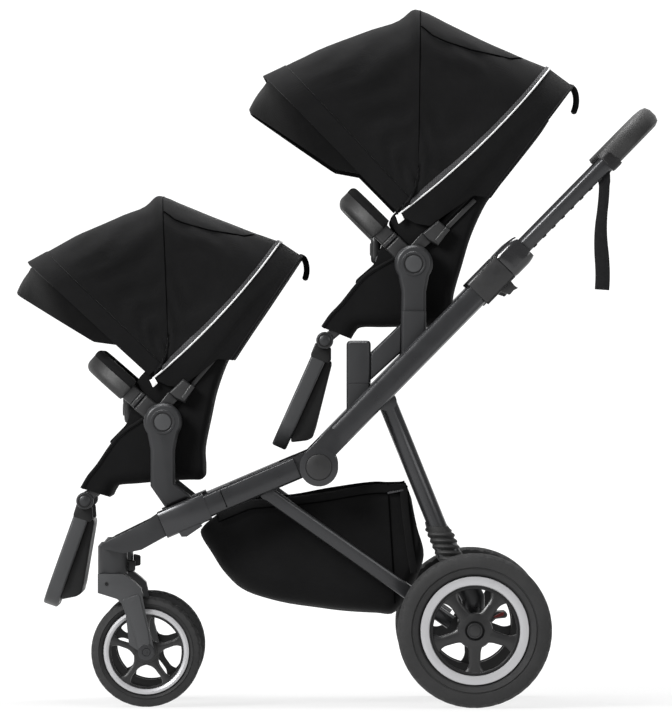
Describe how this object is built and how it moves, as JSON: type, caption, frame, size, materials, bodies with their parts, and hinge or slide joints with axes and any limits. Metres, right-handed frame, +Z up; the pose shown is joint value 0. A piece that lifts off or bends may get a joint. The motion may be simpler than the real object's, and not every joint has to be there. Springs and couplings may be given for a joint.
{
  "type": "convertible stroller",
  "caption": "Convertible pushchair with two canopied seats in line, sprung rear legs, swivel front wheels, a storage basket and a sliding handlebar.",
  "frame": {"origin": "on the floor under the middle of the whole stroller's box", "axes": "+Z up; +X towards the handle, so the child faces -X; -Y is the stroller's left side"},
  "size_m": [1.0711, 0.568, 1.1543],
  "materials": {
    "frame_metal": "satin anthracite paint",
    "dark_plastic": "fine-grained moulded plastic",
    "grip_leather": "matte grained leather look",
    "fabric": "black woven polyester",
    "tyre_rubber": "matte tyre rubber",
    "rim_plastic": "moulded dark plastic with a silver-grey ring",
    "boot_rubber": "matte ribbed rubber",
    "webbing": "black woven webbing"
  },
  "bodies": {
    "front_frame": {"front_tube_left": "frame_metal", "front_tube_right": "frame_metal", "front_leg_left": "frame_metal", "front_leg_right": "frame_metal", "front_cross_tube": "frame_metal", "basket": "fabric"},
    "caster_left": {"caster_fork_left": "frame_metal"},
    "caster_right": {"caster_fork_right": "frame_metal"},
    "caster_lock_left": {"caster_lock_left": "dark_plastic"},
    "caster_lock_right": {"caster_lock_right": "dark_plastic"},
    "front_wheel_left": {"front_tyre_left": "tyre_rubber", "front_rim_left": "rim_plastic"},
    "front_wheel_right": {"front_tyre_right": "tyre_rubber", "front_rim_right": "rim_plastic"},
    "upper_frame": {"upper_tube_left": "frame_metal", "upper_tube_right": "frame_metal", "height_collar_left": "dark_plastic", "height_collar_right": "dark_plastic", "seat_mount_left": "frame_metal", "seat_mount_right": "frame_metal"},
    "fold_slider_left": {"fold_slider_left": "dark_plastic"},
    "fold_slider_right": {"fold_slider_right": "dark_plastic"},
    "handle": {"handlebar": "frame_metal", "handle_grip": "grip_leather", "wrist_strap": "webbing"},
    "rear_legs": {"rear_leg_left": "frame_metal", "rear_leg_right": "frame_metal", "suspension_boot_left": "boot_rubber", "suspension_boot_right": "boot_rubber", "rear_axle": "frame_metal"},
    "brake": {"brake_pedal": "dark_plastic"},
    "rear_wheel_left": {"rear_tyre_left": "tyre_rubber", "rear_rim_left": "rim_plastic"},
    "rear_wheel_right": {"rear_tyre_right": "tyre_rubber", "rear_rim_right": "rim_plastic"},
    "hub_cap_left": {"hub_cap_left": "dark_plastic"},
    "hub_cap_right": {"hub_cap_right": "dark_plastic"},
    "braces": {"brace_left": "frame_metal", "brace_right": "frame_metal"},
    "rear_seat_base": {"rear_seat_leg_left": "frame_metal", "rear_seat_leg_right": "frame_metal"},
    "rear_seat": {"rear_seat_frame": "frame_metal", "rear_seat_shell": "fabric", "rear_canopy_hood": "fabric"},
    "rear_canopy": {"rear_canopy_front": "fabric"},
    "rear_bumper": {"rear_bumper_bar": "grip_leather"},
    "rear_footrest_board": {"rear_footrest": "dark_plastic"},
    "rear_button_left": {"rear_hub_button_left": "dark_plastic"},
    "rear_button_right": {"rear_hub_button_right": "dark_plastic"},
    "front_seat_base": {"front_seat_leg_left": "frame_metal", "front_seat_leg_right": "frame_metal"},
    "front_seat": {"front_seat_frame": "frame_metal", "front_seat_shell": "fabric", "front_canopy_hood": "fabric"},
    "front_canopy": {"front_canopy_front": "fabric"},
    "front_bumper": {"front_bumper_bar": "grip_leather"},
    "front_footrest_board": {"front_footrest": "dark_plastic"},
    "front_button_left": {"front_hub_button_left": "dark_plastic"},
    "front_button_right": {"front_hub_button_right": "dark_plastic"}
  },
  "joints": [
    {"name": "frame_fold", "type": "hinge", "parent": "front_frame", "child": "upper_frame", "pos_m": [-0.0237, 0, 0.3951], "axis": [0, 1, 0], "range_deg": [-15, 0]},
    {"name": "rear_leg_fold", "type": "hinge", "parent": "upper_frame", "child": "rear_legs", "pos_m": [0.0885, 0, 0.503], "axis": [0, 1, 0], "range_deg": [0, 5.3]},
    {"name": "brace_fold", "type": "hinge", "parent": "front_frame", "child": "braces", "pos_m": [-0.109, 0, 0.3524], "axis": [0, 1, 0], "range_deg": [-9.1, 0]},
    {"name": "handle_height", "type": "slide", "parent": "upper_frame", "child": "handle", "axis": [0.7009, 0, 0.7133], "range_m": [-0.13, 0.03]},
    {"name": "fold_slider_left_slide", "type": "slide", "parent": "upper_frame", "child": "fold_slider_left", "axis": [-0.7009, 0, -0.7133], "range_m": [0, 0.02]},
    {"name": "fold_slider_right_slide", "type": "slide", "parent": "upper_frame", "child": "fold_slider_right", "axis": [-0.7009, 0, -0.7133], "range_m": [0, 0.02]},
    {"name": "caster_swivel_left", "type": "hinge", "parent": "front_frame", "child": "caster_left", "pos_m": [-0.3629, -0.21, 0.2197], "axis": [0, 0, 1], "continuous": true},
    {"name": "front_wheel_spin_left", "type": "hinge", "parent": "caster_left", "child": "front_wheel_left", "pos_m": [-0.3076, -0.21, 0.091], "axis": [0, 1, 0], "continuous": true},
    {"name": "caster_lock_left_slide", "type": "slide", "parent": "front_frame", "child": "caster_lock_left", "axis": [0, 0, 1], "range_m": [0, 0.008]},
    {"name": "rear_wheel_spin_left", "type": "hinge", "parent": "rear_legs", "child": "rear_wheel_left", "pos_m": [0.232, -0.26, 0.127], "axis": [0, 1, 0], "continuous": true},
    {"name": "hub_cap_press_left", "type": "slide", "parent": "rear_wheel_left", "child": "hub_cap_left", "axis": [0, 1, 0], "range_m": [0, 0.004], "stiffness_N_per_m": 900, "springref_m": -0.001},
    {"name": "caster_swivel_right", "type": "hinge", "parent": "front_frame", "child": "caster_right", "pos_m": [-0.3629, 0.21, 0.2197], "axis": [0, 0, 1], "continuous": true},
    {"name": "front_wheel_spin_right", "type": "hinge", "parent": "caster_right", "child": "front_wheel_right", "pos_m": [-0.3076, 0.21, 0.091], "axis": [0, 1, 0], "continuous": true},
    {"name": "caster_lock_right_slide", "type": "slide", "parent": "front_frame", "child": "caster_lock_right", "axis": [0, 0, 1], "range_m": [0, 0.008]},
    {"name": "rear_wheel_spin_right", "type": "hinge", "parent": "rear_legs", "child": "rear_wheel_right", "pos_m": [0.232, 0.26, 0.127], "axis": [0, 1, 0], "continuous": true},
    {"name": "hub_cap_press_right", "type": "slide", "parent": "rear_wheel_right", "child": "hub_cap_right", "axis": [0, -1, 0], "range_m": [0, 0.004], "stiffness_N_per_m": 900, "springref_m": -0.001},
    {"name": "brake_press", "type": "hinge", "parent": "rear_legs", "child": "brake", "pos_m": [0.232, 0, 0.127], "axis": [0, 1, 0], "range_deg": [0, 12]},
    {"name": "rear_seat_lift", "type": "slide", "parent": "upper_frame", "child": "rear_seat_base", "axis": [0.4472, 0, 0.8944], "range_m": [0, 0.4]},
    {"name": "rear_seat_recline", "type": "hinge", "parent": "rear_seat_base", "child": "rear_seat", "pos_m": [0.1325, 0, 0.7294], "axis": [0, 1, 0], "range_deg": [0, 15]},
    {"name": "rear_canopy_fold", "type": "hinge", "parent": "rear_seat", "child": "rear_canopy", "pos_m": [0.1167, 0, 0.8219], "axis": [0, 1, 0], "range_deg": [0, 75], "deforming": ["rear_canopy_hood"]},
    {"name": "rear_bumper_release", "type": "slide", "parent": "rear_seat", "child": "rear_bumper", "axis": [-0.7071, 0, 0.7071], "range_m": [0, 0.012]},
    {"name": "rear_footrest_tilt", "type": "hinge", "parent": "rear_seat", "child": "rear_footrest_board", "pos_m": [-0.0142, 0, 0.6034], "axis": [0, 1, 0], "range_deg": [0, 25]},
    {"name": "rear_button_left_press", "type": "slide", "parent": "rear_seat_base", "child": "rear_button_left", "axis": [0, 1, 0], "range_m": [0, 0.004], "stiffness_N_per_m": 900, "springref_m": -0.001},
    {"name": "rear_button_right_press", "type": "slide", "parent": "rear_seat_base", "child": "rear_button_right", "axis": [0, -1, 0], "range_m": [0, 0.004], "stiffness_N_per_m": 900, "springref_m": -0.001},
    {"name": "front_seat_lift", "type": "slide", "parent": "front_frame", "child": "front_seat_base", "axis": [0, 0, 1], "range_m": [0, 0.05]},
    {"name": "front_seat_recline", "type": "hinge", "parent": "front_seat_base", "child": "front_seat", "pos_m": [-0.281, 0, 0.4686], "axis": [0, 1, 0], "range_deg": [0, 8]},
    {"name": "front_canopy_fold", "type": "hinge", "parent": "front_seat", "child": "front_canopy", "pos_m": [-0.291, 0, 0.5495], "axis": [0, 1, 0], "range_deg": [0, 75], "deforming": ["front_canopy_hood"]},
    {"name": "front_bumper_release", "type": "slide", "parent": "front_seat", "child": "front_bumper", "axis": [-0.749, 0, 0.6626], "range_m": [0, 0.012]},
    {"name": "front_footrest_tilt", "type": "hinge", "parent": "front_seat", "child": "front_footrest_board", "pos_m": [-0.41054, 0, 0.33833], "axis": [0, 1, 0], "range_deg": [0, 60]},
    {"name": "front_button_left_press", "type": "slide", "parent": "front_seat_base", "child": "front_button_left", "axis": [0, 1, 0], "range_m": [0, 0.004], "stiffness_N_per_m": 900, "springref_m": -0.001},
    {"name": "front_button_right_press", "type": "slide", "parent": "front_seat_base", "child": "front_button_right", "axis": [0, -1, 0], "range_m": [0, 0.004], "stiffness_N_per_m": 900, "springref_m": -0.001}
  ],
  "couplings": [
    {"joint": "rear_leg_fold", "follows": "frame_fold", "ratio": -0.34},
    {"joint": "brace_fold", "follows": "frame_fold", "ratio": 0.598},
    {"joint": "fold_slider_right_slide", "follows": "fold_slider_left_slide", "ratio": 1}
  ]
}
